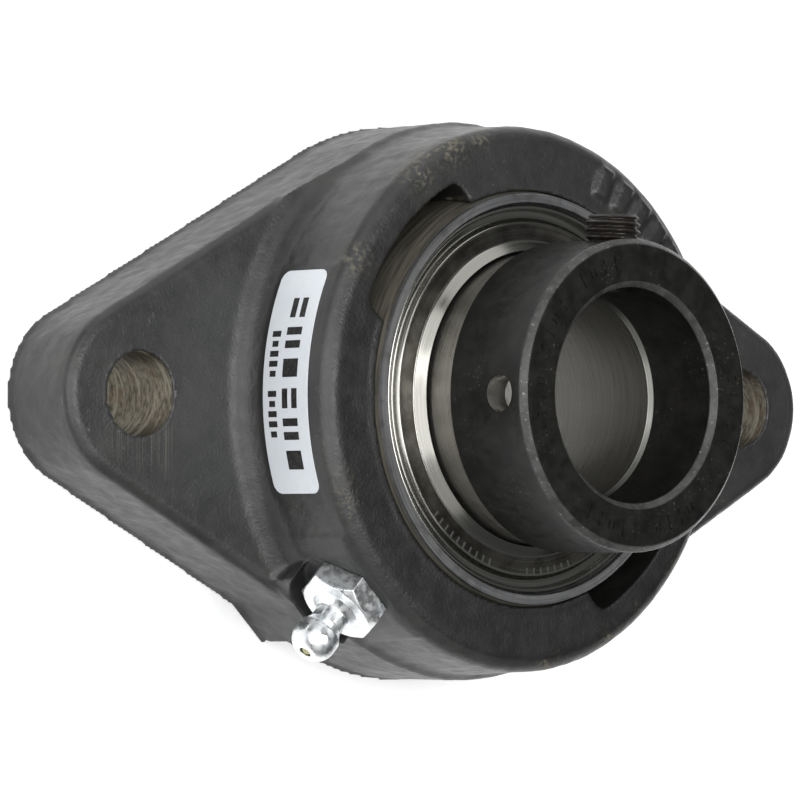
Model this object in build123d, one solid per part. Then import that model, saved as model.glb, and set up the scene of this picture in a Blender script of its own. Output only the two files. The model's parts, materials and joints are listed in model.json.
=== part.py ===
from build123d import *
import os
from math import asin, cos, pi, radians, sin, sqrt, tan

# Two-bolt flange bearing unit: a cast housing, a self-aligning ball bearing insert and an
# eccentric locking collar. The origin is on the shaft axis at the mounting face, +Z runs
# along the shaft from the mounting face to the collar, and X runs through the bolt holes.

os.makedirs("parts", exist_ok=True)

INCH = 25.4

# Shaft and bearing insert
SHAFT_D = 1.1875 * INCH  # bore of the inner ring
BALL_PLANE_Z = 21.3  # height of the ball centres above the mounting face
OUTER_RING_D = 62.0  # spherical outside diameter
OUTER_RING_W = 18.0
INNER_LAND_D = 41.8  # ground outside diameter of the inner ring
INNER_BACK = 18.3  # inner ring length behind the ball plane
INNER_FRONT = 17.5  # inner ring length in front of the ball plane, cam included
RING_CHAMFER = 0.6
BALL_D = 0.375 * INCH
BALL_COUNT = 9
PITCH_D = 46.0  # circle through the ball centres
GROOVE_RATIO = 1.04  # raceway groove radius over ball radius
BALL_GAP = 0.01  # clearance between a ball and the bottom of its groove
SHOULDER_D = 52.6  # inside diameter of the outer ring beside the raceway
LUBE_HOLE_D = 1.6
LUBE_HOLE_OFFSET = 4.9  # from the ball plane towards the back

# Seals: a stamped outer shield, a rubber washer and a stamped inner plate on each side
SEAL_RIM_T = 2.95  # outer ring wall outside the seal seat, at the ball plane
SEAL_SEAT_DEPTH = 3.45
SEAL_MOUTH_STEP = 0.35  # how much wider the mouth of the seat is, on the radius
SEAL_MOUTH_DEPTH = 0.9
PLATE_T = 0.5
WASHER_T = 0.7
LAND_GAP = 0.05  # running clearance between the washer lip and the inner ring land
PLATE_LAND_GAP = 0.9
SHIELD_T = 0.5
SHIELD_ROLL_W = 0.8  # rolled rim of the shield
SHIELD_ROLL_H = 1.3
SHIELD_WEB_W = 1.9  # from the seal seat in to the foot of the raised step
SHIELD_STEP_H = 0.85
SHIELD_STEP_RUN = 0.58
SHIELD_LIP_W = 2.0  # from the inner ring land out to where the flat band turns into the lip
SHIELD_LIP_H = 1.3
SHIELD_LIP_GAP = 0.5  # between the flared lip and the inner ring land
SHIELD_FOLD = 0.3  # how far a fold's inner corner lies from its outer one

# Ball cage, a moulded crown open to the front
CAGE_BACK = 4.9
CAGE_FRONT = 1.8
CAGE_INNER_GAP = 0.65
CAGE_OUTER_GAP = 0.7
POCKET_GAP = 0.1

# Locking collar on the eccentric cam of the inner ring
CAM_D = 36.0
CAM_OFFSET = 0.8  # cam axis from the shaft axis, along +X
CAM_H = 3.2
CAM_GAP = 0.08  # radial running clearance of the collar on the cam
COLLAR_D = 1.75 * INCH
COLLAR_W = 15.7
COLLAR_SEAT_GAP = 0.1  # between the collar and the inner ring shoulder
COLLAR_BORE_GAP = 0.22  # radial, on the shaft
CAM_END_GAP = 0.35
COLLAR_CHAMFER = 0.8
DRIFT_ANGLE = 180.0
DRIFT_HOLE_D = 5.2
DRIFT_HOLE_DEPTH = 3.6
DRIFT_POINT_ANGLE = 59.0  # half angle of the drill point at the bottom of the drift hole
COLLAR_HOLE_UP = 10.8  # drift hole and set screw above the back face of the collar

# Set screw, 5/16-24
SCREW_ANGLE = 90.0
SCREW_D = 0.3125 * INCH
SCREW_L = 0.375 * INCH
SCREW_PROUD = 3.5  # how far it stands out of the collar
SCREW_GAP = 0.05
SCREW_HEX_AF = 0.15625 * INCH
SCREW_HEX_DEPTH = 4.0
SCREW_CHAMFER = 0.7
SCREW_CUP_D = 4.0  # mouth of the 90 degree cup point

# Housing
BOLT_SPACING = 4.6875 * INCH
BOLT_HOLE_D = 12.0
EAR_T = 13.5
EAR_TIP_R = 13.1
EAR_EDGE_R = 2.0
HUB_WALL = 10.1  # outside the insert, at the mounting face
HUB_DRAFT = 2.7  # degrees
HUB_H = 29.4
HUB_EDGE_R = 3.2
FOOT_R = 3.5  # hollow fillet between the ear and the hub
SEAT_GAP = 0.03  # radial running clearance of the insert in its spherical seat
BACK_LEDGE = 4.5  # how far the back bore's wall lies inside the insert's outside
SLOT_ANGLE = 136.0  # one loading slot; the other is opposite
SLOT_W = 24.2
SLOT_DEPTH = 2.8  # how far a slot reaches outside the insert
SLOT_CORNER_R = 2.0
SLOT_RUN_IN = 1.0  # depth past the ball plane

# Grease boss, fitting and passage
GREASE_ANGLE = 225.0
GREASE_Z = BALL_PLANE_Z
PAD_WALL = 12.4  # from the insert's outside to the pad face
PAD_W = 13.4
PAD_ROOT = 4.0  # how far outside the seat the pad starts
POCKET_D = 15.2
POCKET_DEPTH = 4.0
FITTING_SHANK_D = 9.4
FITTING_SHANK_L = 6.0
FITTING_HEX_AF = 0.4375 * INCH
FITTING_HEX_T = 3.6
FITTING_HEX_EDGE = 0.9  # height of the turned-down corners
FITTING_HEX_CUT = 0.225  # how far inside the flats they end
FITTING_NECK_D = 5.0
FITTING_NECK_L = 3.0
FITTING_ROOT_D = 7.5  # neck where it leaves the hexagon
FITTING_ROOT_L = 1.0
FITTING_HEAD_D = 6.6
FITTING_HEAD_L = 5.2
FITTING_BELT_START = 1.32  # widest part of the head, from the head's foot
FITTING_BELT_END = 2.32
FITTING_CROWN_D = 5.94  # rounded part of the head, half way to the tip
FITTING_CROWN_UP = 4.0
FITTING_TIP_D = 3.6
FITTING_BORE_D = 2.6
FITTING_MOUTH_D = 1.7
FITTING_MOUTH_L = 0.4
FITTING_BALL_D = 2.38
SPRING_WIRE_D = 0.32
SPRING_TURNS = 6
SPRING_L = 6.0
SPRING_GAP = 0.12  # between the coils and the bore
SEAT_SLACK = 0.02  # between the check ball and its seat at rest
PASSAGE_D = 3.5
GREASE_GROOVE_W = 3.0
GREASE_GROOVE_DEPTH = 1.5

# Label on the hub wall
LABEL_ANGLE = 177.0
LABEL_W = 9.0
LABEL_L = 31.6
LABEL_T = 0.12
LABEL_Z = 21.7
LABEL_CORNER_R = 1.4

OVERCUT = 1.0  # how far a cut runs past the face that it opens
CUT_INSIDE = 3.0  # how far the grease cuts start inside the insert's seat

BALL_R = BALL_D / 2
PITCH_R = PITCH_D / 2
GROOVE_R = BALL_R * GROOVE_RATIO
LAND_R = INNER_LAND_D / 2
OUTER_R = OUTER_RING_D / 2
SEAT_R = OUTER_R + SEAT_GAP
SEAL_SEAT_R = OUTER_R - SEAL_RIM_T
INNER_BACK_Z = BALL_PLANE_Z - INNER_BACK
INNER_FRONT_Z = BALL_PLANE_Z + INNER_FRONT
SHOULDER_Z = INNER_FRONT_Z - CAM_H
COLLAR_BACK_Z = SHOULDER_Z + COLLAR_SEAT_GAP
COLLAR_R = COLLAR_D / 2
COLLAR_BORE_R = SHAFT_D / 2 + COLLAR_BORE_GAP
COLLAR_HOLE_Z = COLLAR_BACK_Z + COLLAR_HOLE_UP
HUB_R = OUTER_R + HUB_WALL
PAD_R = OUTER_R + PAD_WALL
FITTING_FLOOR_R = PAD_R - POCKET_DEPTH
FITTING_HEX_R = FITTING_FLOOR_R + FITTING_HEX_T
FITTING_HEAD_R = FITTING_HEX_R + FITTING_NECK_L
FITTING_TIP_R = FITTING_HEAD_R + FITTING_HEAD_L
FITTING_BORE_END_R = FITTING_TIP_R - FITTING_MOUTH_L
BALL_SEAT_DROP = sqrt((FITTING_BALL_D / 2) ** 2 - (FITTING_MOUTH_D / 2) ** 2)
CHECK_BALL_R = FITTING_BORE_END_R - BALL_SEAT_DROP - SEAT_SLACK
TALL = 4 * HUB_H  # longer than any cut needs
OUTLINE_LEAN = asin((HUB_R - EAR_TIP_R) / (BOLT_SPACING / 2))


def hub_radius(z):
    """Radius of the drafted hub wall at height z."""
    return HUB_R - z * tan(radians(HUB_DRAFT))


def radial_plane(angle, z, distance):
    """Plane square to the radius at this angle, its normal outward and its y axis along +Z."""
    out = Vector(cos(radians(angle)), sin(radians(angle)), 0)
    across = Vector(-sin(radians(angle)), cos(radians(angle)), 0)
    return Plane(origin=out * distance + Vector(0, 0, z), x_dir=across, z_dir=out)


def radial_rod(diameter, angle, z, start, end):
    """Round rod along the radius at this angle, from start to end off the shaft axis."""
    return extrude(radial_plane(angle, z, start) * Circle(diameter / 2), end - start)


def turned(*points):
    """Solid of revolution about the shaft axis through (radius, height) points."""
    outline = Plane.XZ * make_face(Polyline(*points, close=True))
    return revolve(outline, Axis.Z)


def raceway(groove_centre_r):
    """Ring of circular section that cuts a ball groove."""
    section = Plane.XZ * Pos(groove_centre_r, BALL_PLANE_Z) * Circle(GROOVE_R)
    return revolve(section, Axis.Z)


def flange_outline():
    """Rhombic outline: the hub circle and the two ear tips joined by tangent lines."""
    normal = Vector(-sin(OUTLINE_LEAN), cos(OUTLINE_LEAN), 0)
    hub_touch = normal * HUB_R
    tip_touch = Vector(-BOLT_SPACING / 2, 0, 0) + normal * EAR_TIP_R
    tip_end = Vector(-BOLT_SPACING / 2 - EAR_TIP_R, 0, 0)
    left = [Line(hub_touch, tip_touch)]
    left.append(ThreePointArc(tip_touch, tip_end, (tip_touch.X, -tip_touch.Y)))
    left.append(Line((tip_touch.X, -tip_touch.Y), (hub_touch.X, -hub_touch.Y)))
    right = [edge.mirror(Plane.YZ) for edge in left]
    top = ThreePointArc(hub_touch, (0, HUB_R), (-hub_touch.X, hub_touch.Y))
    bottom = top.mirror(Plane.XZ)
    return make_face(Curve() + left + right + [top, bottom])


def ear_plate():
    """Flange plate with its front edge rounded."""
    plate = extrude(flange_outline(), EAR_T)
    return fillet(plate.edges().group_by(Axis.Z)[-1], EAR_EDGE_R)


def hub():
    """Drafted hub with a rounded front edge and a hollow fillet at its foot."""
    foot_top = EAR_T + FOOT_R
    wall_foot = (hub_radius(foot_top), foot_top)
    flare = hub_radius(EAR_T) + FOOT_R
    bend = (flare - FOOT_R * sin(pi / 4), foot_top - FOOT_R * sin(pi / 4))
    front_r = hub_radius(HUB_H)
    lines = Curve() + [
        Line((0, 0), (flare, 0)),
        Line((flare, 0), (flare, EAR_T)),
        ThreePointArc((flare, EAR_T), bend, wall_foot),
        Line(wall_foot, (front_r, HUB_H)),
        Line((front_r, HUB_H), (0, HUB_H)),
        Line((0, HUB_H), (0, 0)),
    ]
    body = revolve(Plane.XZ * make_face(lines), Axis.Z)
    edge = body.edges().filter_by(GeomType.CIRCLE).sort_by(Axis.Z)[-1]
    body = fillet(edge, HUB_EDGE_R)
    return body & extrude(flange_outline(), HUB_H)


def grease_boss():
    """Flat pad with a round top, from the mounting face up the hub wall to the fitting."""
    root_r = OUTER_R + PAD_ROOT
    reach = PAD_R - root_r
    pad = Box(reach, PAD_W, GREASE_Z, align=(Align.MIN, Align.CENTER, Align.MIN))
    pad = Rot(0, 0, GREASE_ANGLE) * Pos(root_r, 0, 0) * pad
    return pad + radial_rod(PAD_W, GREASE_ANGLE, GREASE_Z, root_r, PAD_R)


def loading_slots():
    """Two opposite slots in the front face that let the insert in edgeways."""
    floor_z = BALL_PLANE_Z - SLOT_RUN_IN
    slot = Circle(OUTER_R + SLOT_DEPTH) & Rectangle(2 * HUB_R, SLOT_W)
    slot = extrude(slot, HUB_H - floor_z + OVERCUT)
    slot = fillet(slot.edges().filter_by(Axis.Z), SLOT_CORNER_R)
    return Pos(0, 0, floor_z) * Rot(0, 0, SLOT_ANGLE) * slot


def grease_passage():
    """Spot-faced pocket, tapped hole, drilled passage and groove around the seat."""
    shank_end = FITTING_FLOOR_R - FITTING_SHANK_L
    groove_r = SEAT_R + GREASE_GROOVE_DEPTH
    inside_r = SEAT_R - CUT_INSIDE
    groove_z = BALL_PLANE_Z - LUBE_HOLE_OFFSET
    pocket = radial_rod(POCKET_D, GREASE_ANGLE, GREASE_Z, FITTING_FLOOR_R, PAD_R + POCKET_DEPTH)
    tapped = radial_rod(FITTING_SHANK_D, GREASE_ANGLE, GREASE_Z, shank_end, PAD_R)
    drilled = radial_rod(PASSAGE_D, GREASE_ANGLE, GREASE_Z, inside_r, PAD_R)
    ring = extrude(Circle(groove_r) - Circle(inside_r), GREASE_GROOVE_W)
    ring = Pos(0, 0, groove_z - GREASE_GROOVE_W / 2) * ring
    link_h = GREASE_Z + PASSAGE_D / 2 - groove_z
    link = Box(groove_r - inside_r, PASSAGE_D / 2, link_h, align=(Align.MIN, Align.CENTER, Align.MIN))
    link = Pos(inside_r, 0, groove_z) * link
    return pocket + tapped + drilled + ring + Rot(0, 0, GREASE_ANGLE) * link


def housing():
    """Cast housing: ears, hub and grease boss, less the seat, slots and holes."""
    body = ear_plate() + hub() + grease_boss()
    seat = Pos(0, 0, BALL_PLANE_Z) * Sphere(SEAT_R)
    back_bore = Cylinder(OUTER_R - BACK_LEDGE, BALL_PLANE_Z)
    bolts = [Pos(x, 0, 0) * Cylinder(BOLT_HOLE_D / 2, TALL) for x in (-BOLT_SPACING / 2, BOLT_SPACING / 2)]
    return body - seat - back_bore - bolts - loading_slots() - grease_passage()


def label():
    """Thin label wrapped on the drafted hub wall."""
    low, high = LABEL_Z - LABEL_W / 2, LABEL_Z + LABEL_W / 2
    skin = turned(
        (hub_radius(low), low),
        (hub_radius(low) + LABEL_T, low),
        (hub_radius(high) + LABEL_T, high),
        (hub_radius(high), high),
    )
    outline = radial_plane(LABEL_ANGLE, LABEL_Z, 0) * RectangleRounded(LABEL_L, LABEL_W, LABEL_CORNER_R)
    return skin & extrude(outline, TALL)


def fitting_frame(distance):
    """Plane square to the fitting's axis at this distance from the shaft axis."""
    return radial_plane(GREASE_ANGLE, GREASE_Z, distance)


def fitting_head():
    """Neck and hooked head of the nipple, turned about the fitting's axis."""
    foot = FITTING_HEAD_R
    neck, head = FITTING_NECK_D / 2, FITTING_HEAD_D / 2
    crown = (FITTING_CROWN_D / 2, foot + FITTING_CROWN_UP)
    belt_end, tip = (head, foot + FITTING_BELT_END), (FITTING_TIP_D / 2, FITTING_TIP_R)
    side = Polyline(
        tip,
        (0, FITTING_TIP_R),
        (0, FITTING_HEX_R),
        (FITTING_ROOT_D / 2, FITTING_HEX_R),
        (neck, FITTING_HEX_R + FITTING_ROOT_L),
        (neck, foot),
        (head, foot + FITTING_BELT_START),
        belt_end,
    )
    outline = Curve() + [side, ThreePointArc(belt_end, crown, tip)]
    return fitting_frame(0) * revolve(Plane.XZ * make_face(outline), Axis.Z)


def grease_fitting_body():
    """Grease nipple: plain shank, hexagon, neck and head, bored for its ball and spring."""
    hexagon = extrude(RegularPolygon(FITTING_HEX_AF / 2, 6, major_radius=False), FITTING_HEX_T)
    hexagon = fitting_frame(FITTING_FLOOR_R) * (hexagon & hexagon_cap())
    shank = radial_rod(
        FITTING_SHANK_D, GREASE_ANGLE, GREASE_Z, FITTING_FLOOR_R - FITTING_SHANK_L, FITTING_FLOOR_R
    )
    body = hexagon + shank + fitting_head()
    bore_start = FITTING_FLOOR_R - FITTING_SHANK_L - OVERCUT
    bore = radial_rod(FITTING_BORE_D, GREASE_ANGLE, GREASE_Z, bore_start, FITTING_BORE_END_R)
    mouth = radial_rod(
        FITTING_MOUTH_D, GREASE_ANGLE, GREASE_Z, FITTING_BORE_END_R - OVERCUT, FITTING_TIP_R + OVERCUT
    )
    return body - bore - mouth


def hexagon_cap():
    """Turned blank that takes the corners off the outer face of the fitting's hexagon."""
    corner = FITTING_HEX_AF / sqrt(3)
    flat = FITTING_HEX_AF / 2 - FITTING_HEX_CUT
    shoulder = FITTING_HEX_T - FITTING_HEX_EDGE
    return turned((0, 0), (corner, 0), (corner, shoulder), (flat, FITTING_HEX_T), (0, FITTING_HEX_T))


def grease_fitting_ball():
    """Check ball behind the mouth of the nipple."""
    return fitting_frame(CHECK_BALL_R) * Sphere(FITTING_BALL_D / 2)


def grease_fitting_spring():
    """Coil spring that holds the check ball on its seat."""
    top = CHECK_BALL_R - FITTING_BALL_D / 2 - SPRING_WIRE_D / 2
    coil_r = (FITTING_BORE_D - SPRING_WIRE_D) / 2 - SPRING_GAP
    path = Helix(pitch=SPRING_L / SPRING_TURNS, height=SPRING_L, radius=coil_r)
    wire = Plane(origin=path @ 0, z_dir=path % 0) * Circle(SPRING_WIRE_D / 2)
    return fitting_frame(top - SPRING_L) * sweep(wire, path=path, is_frenet=True)


def outer_ring():
    """Outer ring: a spherical outside, one raceway and a seal seat on each side."""
    half = OUTER_RING_W / 2
    ring = Pos(0, 0, BALL_PLANE_Z) * Sphere(OUTER_R)
    slab = Cylinder(OUTER_R + OVERCUT, OUTER_RING_W) - Cylinder(SHOULDER_D / 2, TALL)
    slab = Pos(0, 0, BALL_PLANE_Z) * slab
    ring = ring & slab
    groove_centre = PITCH_R + BALL_R + BALL_GAP - GROOVE_R
    ring -= raceway(groove_centre)
    seat_r, mouth_r = SEAL_SEAT_R, SEAL_SEAT_R + SEAL_MOUTH_STEP
    for side in (1, -1):
        face = BALL_PLANE_Z + side * half
        ring -= turned(
            (0, face - side * SEAL_SEAT_DEPTH),
            (seat_r, face - side * SEAL_SEAT_DEPTH),
            (seat_r, face - side * (SEAL_MOUTH_DEPTH + SEAL_MOUTH_STEP)),
            (mouth_r, face - side * SEAL_MOUTH_DEPTH),
            (mouth_r, face + side * OVERCUT),
            (0, face + side * OVERCUT),
        )
    lube_z = BALL_PLANE_Z - LUBE_HOLE_OFFSET
    return ring - radial_rod(LUBE_HOLE_D, GREASE_ANGLE, lube_z, PITCH_R, OUTER_R + OVERCUT)


def seal_height(depth, side):
    """Height of a seal surface this deep under the outer ring's face on the given side."""
    return BALL_PLANE_Z + side * (OUTER_RING_W / 2 - depth)


def inner_plate(side):
    """Flat steel plate at the bottom of the seal seat."""
    low, high = SEAL_SEAT_DEPTH, SEAL_SEAT_DEPTH - PLATE_T
    r_in, r_out = LAND_R + PLATE_LAND_GAP, SEAL_SEAT_R
    return turned(
        (r_in, seal_height(low, side)),
        (r_out, seal_height(low, side)),
        (r_out, seal_height(high, side)),
        (r_in, seal_height(high, side)),
    )


def washer(side):
    """Rubber washer between the plates, its lip running on the inner ring land."""
    low = SEAL_SEAT_DEPTH - PLATE_T
    high = low - WASHER_T
    r_in, r_out = LAND_R + LAND_GAP, SEAL_SEAT_R
    return turned(
        (r_in, seal_height(low, side)),
        (r_out, seal_height(low, side)),
        (r_out, seal_height(high, side)),
        (r_in, seal_height(high, side)),
    )


def outer_shield(side):
    """Stamped shield: rolled rim, raised step, flat band and a lip flared over the land."""
    base = SEAL_SEAT_DEPTH - PLATE_T - WASHER_T
    web = base - SHIELD_T
    roll = base - SHIELD_ROLL_H
    band = web - SHIELD_STEP_H
    lip = band - SHIELD_LIP_H
    roll_r = SEAL_SEAT_R - SHIELD_ROLL_W
    foot_r = SEAL_SEAT_R - SHIELD_WEB_W
    step_r = foot_r - SHIELD_STEP_RUN
    band_r = LAND_R + SHIELD_LIP_W
    lip_r = LAND_R + SHIELD_LIP_GAP

    def at(radius, depth):
        return (radius, seal_height(depth, side))

    section = Polyline(
        at(roll_r, roll),
        at(roll_r, web),
        at(foot_r, web),
        at(step_r, band),
        at(band_r, band),
        at(lip_r, lip),
        at(lip_r, lip + SHIELD_T),
        at(band_r - SHIELD_FOLD / 2, band + SHIELD_T),
        at(step_r - SHIELD_FOLD, band + SHIELD_T),
        at(foot_r - SHIELD_FOLD, base),
        at(SEAL_SEAT_R, base),
        at(SEAL_SEAT_R, roll),
    )
    crest = at((SEAL_SEAT_R + roll_r) / 2, roll - SHIELD_ROLL_W / 2)
    rim = ThreePointArc(at(SEAL_SEAT_R, roll), crest, at(roll_r, roll))
    return revolve(Plane.XZ * make_face(Curve() + [section, rim]), Axis.Z)


def inner_ring():
    """Wide inner ring with its raceway and the eccentric cam that the collar locks on."""
    bore_r, c = SHAFT_D / 2, RING_CHAMFER
    ring = turned(
        (bore_r + c, INNER_BACK_Z),
        (LAND_R - c, INNER_BACK_Z),
        (LAND_R, INNER_BACK_Z + c),
        (LAND_R, SHOULDER_Z - c / 2),
        (LAND_R - c / 2, SHOULDER_Z),
        (bore_r, SHOULDER_Z),
        (bore_r, INNER_BACK_Z + c),
    )
    cam = Pos(CAM_OFFSET, 0, SHOULDER_Z) * extrude(Circle(CAM_D / 2), CAM_H)
    cam = chamfer(cam.edges().sort_by(Axis.Z)[-1], c / 2)
    ring += cam - Cylinder(bore_r, TALL)
    mouth = INNER_FRONT_Z
    ring -= turned((0, mouth - c), (bore_r, mouth - c), (bore_r + c, mouth), (0, mouth))
    return ring - raceway(PITCH_R - BALL_R - BALL_GAP + GROOVE_R)


def ball(index):
    """One ball of the ring of balls."""
    return Rot(0, 0, index * 360 / BALL_COUNT) * Pos(PITCH_R, 0, BALL_PLANE_Z) * Sphere(BALL_R)


def ball_cage():
    """Crown cage with a spherical pocket for each ball."""
    r_in = LAND_R + CAGE_INNER_GAP
    r_out = SHOULDER_D / 2 - CAGE_OUTER_GAP
    low, high = BALL_PLANE_Z - CAGE_BACK, BALL_PLANE_Z + CAGE_FRONT
    crown = turned((r_in, low), (r_out, low), (r_out, high), (r_in, high))
    pocket = Pos(PITCH_R, 0, BALL_PLANE_Z) * Sphere(BALL_R + POCKET_GAP)
    for index in range(BALL_COUNT):
        crown -= Rot(0, 0, index * 360 / BALL_COUNT) * pocket
    return crown


def locking_collar():
    """Collar with an eccentric recess for the cam, a drift hole and a set screw hole."""
    collar = Pos(0, 0, COLLAR_BACK_Z) * extrude(Circle(COLLAR_R), COLLAR_W)
    collar -= Cylinder(COLLAR_BORE_R, TALL)
    collar = chamfer(collar.edges().filter_by(GeomType.CIRCLE), COLLAR_CHAMFER)
    recess_h = INNER_FRONT_Z + CAM_END_GAP - COLLAR_BACK_Z
    recess = extrude(Circle(CAM_D / 2 + CAM_GAP), recess_h + OVERCUT)
    collar -= Pos(CAM_OFFSET, 0, COLLAR_BACK_Z - OVERCUT) * recess
    screw_hole_d = SCREW_D + 2 * SCREW_GAP
    collar -= radial_rod(screw_hole_d, SCREW_ANGLE, COLLAR_HOLE_Z, 0, COLLAR_R + OVERCUT)
    return collar - drift_hole()


def drift_hole():
    """Blind drilled hole that takes a drift for turning the collar."""
    floor = COLLAR_R - DRIFT_HOLE_DEPTH
    point = DRIFT_HOLE_D / 2 / tan(radians(DRIFT_POINT_ANGLE))
    hole = radial_rod(DRIFT_HOLE_D, DRIFT_ANGLE, COLLAR_HOLE_Z, floor, COLLAR_R + OVERCUT)
    cone = Solid.make_cone(0, DRIFT_HOLE_D / 2, point)
    return hole + radial_plane(DRIFT_ANGLE, COLLAR_HOLE_Z, floor - point) * cone


def set_screw():
    """Cup point set screw with a hexagon socket, standing proud of the collar."""
    tip_r = COLLAR_R + SCREW_PROUD - SCREW_L
    body = extrude(Circle(SCREW_D / 2), SCREW_L)
    body = chamfer(body.edges().filter_by(GeomType.CIRCLE), SCREW_CHAMFER)
    socket = extrude(RegularPolygon(SCREW_HEX_AF / 2, 6, major_radius=False), SCREW_HEX_DEPTH)
    cup = Solid.make_cone(SCREW_CUP_D / 2, 0, SCREW_CUP_D / 2)
    body = body - Pos(0, 0, SCREW_L - SCREW_HEX_DEPTH) * socket - cup
    return radial_plane(SCREW_ANGLE, COLLAR_HOLE_Z, tip_r) * body


def write(shape, name):
    """Write one sub-part under its node name."""
    solids = shape.solids()
    export_step(solids[0] if len(solids) == 1 else Compound(children=solids), f"parts/{name}.step")


write(housing(), "housing")
write(label(), "label")
write(grease_fitting_body(), "grease_fitting_body")
write(grease_fitting_ball(), "grease_fitting_ball")
write(grease_fitting_spring(), "grease_fitting_spring")
write(outer_ring(), "outer_ring")
write(inner_ring(), "inner_ring")
write(ball_cage(), "ball_cage")
for index in range(BALL_COUNT):
    write(ball(index), f"ball_{index + 1}")
for name, side in (("front", 1), ("rear", -1)):
    write(outer_shield(side), f"{name}_seal_outer_shield")
    write(washer(side), f"{name}_seal_washer")
    write(inner_plate(side), f"{name}_seal_inner_plate")
write(locking_collar(), "locking_collar")
write(set_screw(), "set_screw")
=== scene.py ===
import json
from math import cos, pi, radians, sin, sqrt, tan

import bmesh
import bpy
import numpy as np
from mathutils import Matrix, Vector, noise


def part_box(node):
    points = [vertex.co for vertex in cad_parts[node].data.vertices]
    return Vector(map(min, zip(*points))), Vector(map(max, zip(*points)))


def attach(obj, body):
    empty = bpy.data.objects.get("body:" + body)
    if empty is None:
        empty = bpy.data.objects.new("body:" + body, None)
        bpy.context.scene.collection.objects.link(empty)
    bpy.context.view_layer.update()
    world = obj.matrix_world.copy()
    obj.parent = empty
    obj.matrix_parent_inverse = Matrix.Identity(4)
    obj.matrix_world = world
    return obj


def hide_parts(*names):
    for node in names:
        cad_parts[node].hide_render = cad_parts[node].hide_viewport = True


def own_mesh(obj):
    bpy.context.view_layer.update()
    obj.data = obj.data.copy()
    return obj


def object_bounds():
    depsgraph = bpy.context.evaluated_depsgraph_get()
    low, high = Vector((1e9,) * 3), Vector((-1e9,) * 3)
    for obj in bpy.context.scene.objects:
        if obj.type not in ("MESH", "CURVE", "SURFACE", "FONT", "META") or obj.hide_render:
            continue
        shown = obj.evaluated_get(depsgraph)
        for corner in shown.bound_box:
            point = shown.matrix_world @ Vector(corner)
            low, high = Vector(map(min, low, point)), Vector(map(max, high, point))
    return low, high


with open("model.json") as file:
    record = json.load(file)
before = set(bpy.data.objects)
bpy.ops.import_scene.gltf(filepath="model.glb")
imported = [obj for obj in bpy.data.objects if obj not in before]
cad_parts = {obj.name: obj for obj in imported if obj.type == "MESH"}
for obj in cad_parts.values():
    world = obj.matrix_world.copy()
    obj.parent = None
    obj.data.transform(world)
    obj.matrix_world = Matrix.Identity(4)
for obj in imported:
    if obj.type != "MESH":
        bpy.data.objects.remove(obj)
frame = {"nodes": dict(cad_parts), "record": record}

MM = 0.001
CAD_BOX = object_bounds()
MOUNTS = {mount["name"]: mount for mount in frame["record"]["mounts"]}

# Places and sizes read from the frame
BOLT_X = MOUNTS["bolts"]["dims"]["spacing_x_mm"] / 2 * MM
BOLT_HOLE_R = MOUNTS["bolts"]["dims"]["hole_r_mm"] * MM
BORE_R = MOUNTS["shaft_bore"]["dims"]["r_mm"] * MM
HOUSING_LOW, HOUSING_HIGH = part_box("housing")
HUB_TOP = HOUSING_HIGH.z
RING_LOW, RING_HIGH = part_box("outer_ring")
BALL_CENTRE = (RING_LOW + RING_HIGH) / 2
COLLAR_LOW, COLLAR_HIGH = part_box("locking_collar")
COLLAR_R = (COLLAR_HIGH.x - COLLAR_LOW.x) / 2
COLLAR_BORE_R = BORE_R + 0.22 * MM
SCREW_LOW, SCREW_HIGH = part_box("set_screw")
SCREW_R = (SCREW_HIGH.x - SCREW_LOW.x) / 2
SCREW_HOLE_R = SCREW_R + 0.05 * MM
COLLAR_HOLE_Z = (SCREW_LOW.z + SCREW_HIGH.z) / 2
LABEL_LOW, LABEL_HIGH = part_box("label")
FITTING_LOW, FITTING_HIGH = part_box("grease_fitting_body")

# Sizes of the housing and its seat
EAR_TOP = 13.5 * MM
INSERT_R = 31.0 * MM
SLOT_R = 33.8 * MM
HOUSING_VOXEL = 0.45 * MM
RAISED_BARS = (65, 58, 51, 44, 37)  # angles in degrees
RAISED_BAR_R = 35.2 * MM
RAISED_BAR_SIZE = (4.4 * MM, 2.5 * MM, 1.0 * MM)
RAISED_BAR_ROOM = 0.6 * MM  # above the casting's box

# Label: angle of its middle, and the ink's reach above and below its face
LABEL_ANGLE = radians(177)
INK_T = 0.012 * MM

# Collar: cam recess, blind drift hole and stamped marks
CAM_OFFSET, CAM_RECESS_R, CAM_RECESS_TOP = 0.8 * MM, 18.08 * MM, 39.15 * MM
DRIFT_R, DRIFT_DEPTH = 2.6 * MM, 3.6 * MM
MARK_R, MARK_DEPTH = 19.0 * MM, 0.15 * MM
MARK_STEP = 7  # degrees
MARK_GROUPS = ((103, 4), (140, 4), (175, 4), (240, 5), (282, 4), (-20, 5))  # first angle and count
STAMPED_SHAPES = (  # boxes of each mark: place along and across the radius, then size, in mm
    ((0, 0, 2.2, 0.3),),
    ((-0.75, 0, 0.6, 0.6), (0.75, 0, 0.6, 0.6)),
    ((0, -0.45, 1.2, 0.3), (0, 0.45, 1.2, 0.3)),
)

# Set screw
THREAD_PITCH = 25.4 / 24 * MM
THREAD_DEPTH = 0.6 * MM
SOCKET_AF = 3.97 * MM

# Dashes on the front shield
SHIELD_MARKS = ((222, 252), (268, 290))  # first and last angle of each row
SHIELD_MARK_STEP = 3.2
SHIELD_MARK_R = 24.9 * MM
SHIELD_MARK_SIZE = (1.0 * MM, 0.34 * MM, 0.03 * MM)
SHIELD_BAND_Z = 29.405 * MM

# Balls: their number, and the share of the CAD ball's size
BALLS, BALL_SHARE = 9, 0.99

ARC_R = 0.03  # radius at which finishes that run round the shaft are true to size

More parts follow.
